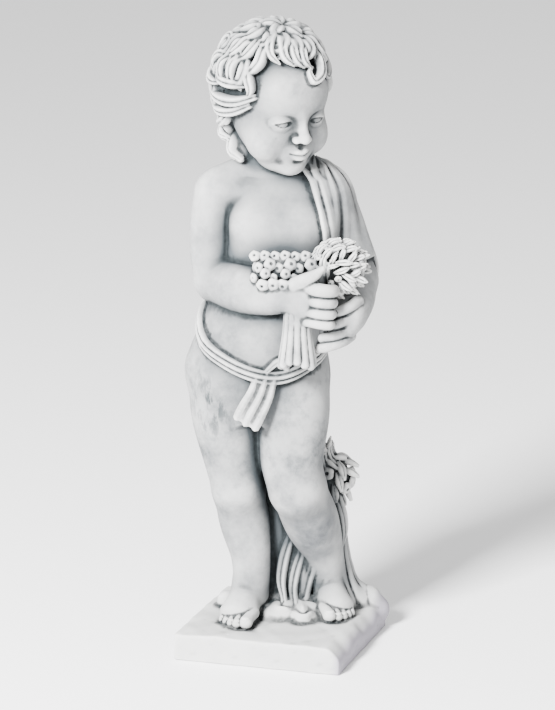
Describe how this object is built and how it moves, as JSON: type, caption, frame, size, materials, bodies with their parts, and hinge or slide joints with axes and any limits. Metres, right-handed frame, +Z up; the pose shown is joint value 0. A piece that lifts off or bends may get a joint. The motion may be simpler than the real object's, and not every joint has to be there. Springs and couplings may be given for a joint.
{
  "type": "garden statue",
  "caption": "Garden statue of a standing cherub boy with a bunch of flowers in both hands, a sash at the waist, a sheaf behind the leg and a square plinth, cast in one piece of stone",
  "frame": {"origin": "middle of the plinth's square underside, where the statue stands on the ground", "axes": "+Z up; the plinth's sides are square to X and Y; its front is -Y; the boy faces -Y turned 17.2 degrees towards his left (+X)"},
  "size_m": [0.2447, 0.223, 0.8034],
  "materials": {
    "cast_stone": "matt weathered cast stone, near white with grey-green patina in the hollows"
  },
  "bodies": {
    "root": {"cherub_statue": "cast_stone"}
  },
  "joints": []
}
